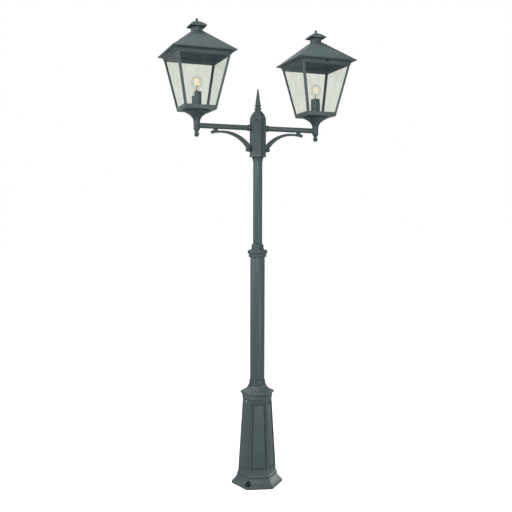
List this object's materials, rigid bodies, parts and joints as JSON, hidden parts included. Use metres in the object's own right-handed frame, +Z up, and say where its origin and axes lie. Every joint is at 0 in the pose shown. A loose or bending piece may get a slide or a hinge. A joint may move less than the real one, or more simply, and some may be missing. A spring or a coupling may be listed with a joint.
{
  "type": "street lamp post",
  "caption": "Cast and tubular street lamp post: hexagonal base with service door, stepped round column, hub with spire, and two arms with square tapered glass lanterns on scroll brackets.",
  "frame": {"origin": "on the ground, on the column's axis, which is the centre of the base's footing and of the overall box", "axes": "+Z up the column, +X along the right-hand arm, so -Y is the front that shows both lanterns; the base is turned so that its door faces 195.6 degrees from +X"},
  "size_m": [0.9844, 0.3244, 2.3887],
  "materials": {
    "paint": "fine-textured satin powder coat, dark green-grey",
    "clear_glass": "clear, lightly rippled",
    "lamp_glass": "clear blown glass",
    "filament": "glowing warm rods on a clear stem",
    "nickel": "nickel-plated thread",
    "ceramic": "glazed white ceramic",
    "brass": "plain brass",
    "zinc_steel": "zinc plated",
    "dark_steel": "blackened steel",
    "cable_sheath": "matt black sheath",
    "terminal_plastic": "moulded off-white plastic"
  },
  "bodies": {
    "post": {"arm_collar_left": "paint", "arm_collar_right": "paint", "arm_connectors": "zinc_steel", "arm_left": "paint", "arm_right": "paint", "base_pedestal": "paint", "base_set_screws": "dark_steel", "bracket_screws": "dark_steel", "corner_posts_left": "paint", "corner_posts_right": "paint", "drop_ball_left": "paint", "drop_ball_right": "paint", "earth_stud": "brass", "flex_left": "cable_sheath", "flex_right": "cable_sheath", "hub": "paint", "hub_set_screws": "dark_steel", "hub_spire": "paint", "lampholder_contact_left": "brass", "lampholder_contact_right": "brass", "lampholder_cover_left": "paint", "lampholder_cover_right": "paint", "lampholder_left": "ceramic", "lampholder_right": "ceramic", "lower_tube": "paint", "mid_collar": "paint", "mid_collar_set_screws": "dark_steel", "panes_left": "clear_glass", "panes_right": "clear_glass", "scroll_bracket_left": "paint", "scroll_bracket_right": "paint", "stem_left": "paint", "stem_right": "paint", "terminal_block": "terminal_plastic", "terminal_block_screws": "zinc_steel", "top_ring_left": "paint", "top_ring_right": "paint", "tray_left": "paint", "tray_right": "paint", "tray_screws_left": "zinc_steel", "tray_screws_right": "zinc_steel", "upper_tube": "paint", "wiring_plate": "zinc_steel", "wiring_plate_screws": "zinc_steel"},
    "base_door": {"base_door": "paint"},
    "door_screw": {"door_screw": "zinc_steel"},
    "roof_left": {"roof_left": "paint", "chimney_cap_left": "paint", "cap_knob_left": "paint"},
    "roof_screw_left": {"roof_screw_left": "dark_steel"},
    "bulb_left": {"bulb_cap_left": "nickel", "bulb_glass_left": "lamp_glass", "bulb_filament_left": "filament"},
    "roof_right": {"roof_right": "paint", "chimney_cap_right": "paint", "cap_knob_right": "paint"},
    "roof_screw_right": {"roof_screw_right": "dark_steel"},
    "bulb_right": {"bulb_cap_right": "nickel", "bulb_glass_right": "lamp_glass", "bulb_filament_right": "filament"}
  },
  "joints": [
    {"name": "base_door_tilt", "type": "hinge", "parent": "post", "child": "base_door", "pos_m": [-0.08252, -0.02304, 0.09205], "axis": [0.2689, -0.9632, 0], "range_deg": [0, 35]},
    {"name": "door_screw_travel", "type": "slide", "parent": "base_door", "child": "door_screw", "axis": [-0.9618, -0.2685, 0.0538], "range_m": [0, 0.012]},
    {"name": "roof_lift_left", "type": "slide", "parent": "post", "child": "roof_left", "axis": [0, 0, 1], "range_m": [0, 0.15]},
    {"name": "roof_screw_travel_left", "type": "slide", "parent": "roof_left", "child": "roof_screw_left", "axis": [0, 1, 0], "range_m": [0, 0.006]},
    {"name": "bulb_turn_left", "type": "hinge", "parent": "post", "child": "bulb_left", "pos_m": [-0.33, 0, 2], "axis": [0, 0, 1], "range_deg": [0, 900]},
    {"name": "roof_lift_right", "type": "slide", "parent": "post", "child": "roof_right", "axis": [0, 0, 1], "range_m": [0, 0.15]},
    {"name": "roof_screw_travel_right", "type": "slide", "parent": "roof_right", "child": "roof_screw_right", "axis": [0, -1, 0], "range_m": [0, 0.006]},
    {"name": "bulb_turn_right", "type": "hinge", "parent": "post", "child": "bulb_right", "pos_m": [0.33, 0, 2], "axis": [0, 0, 1], "range_deg": [0, 900]}
  ]
}
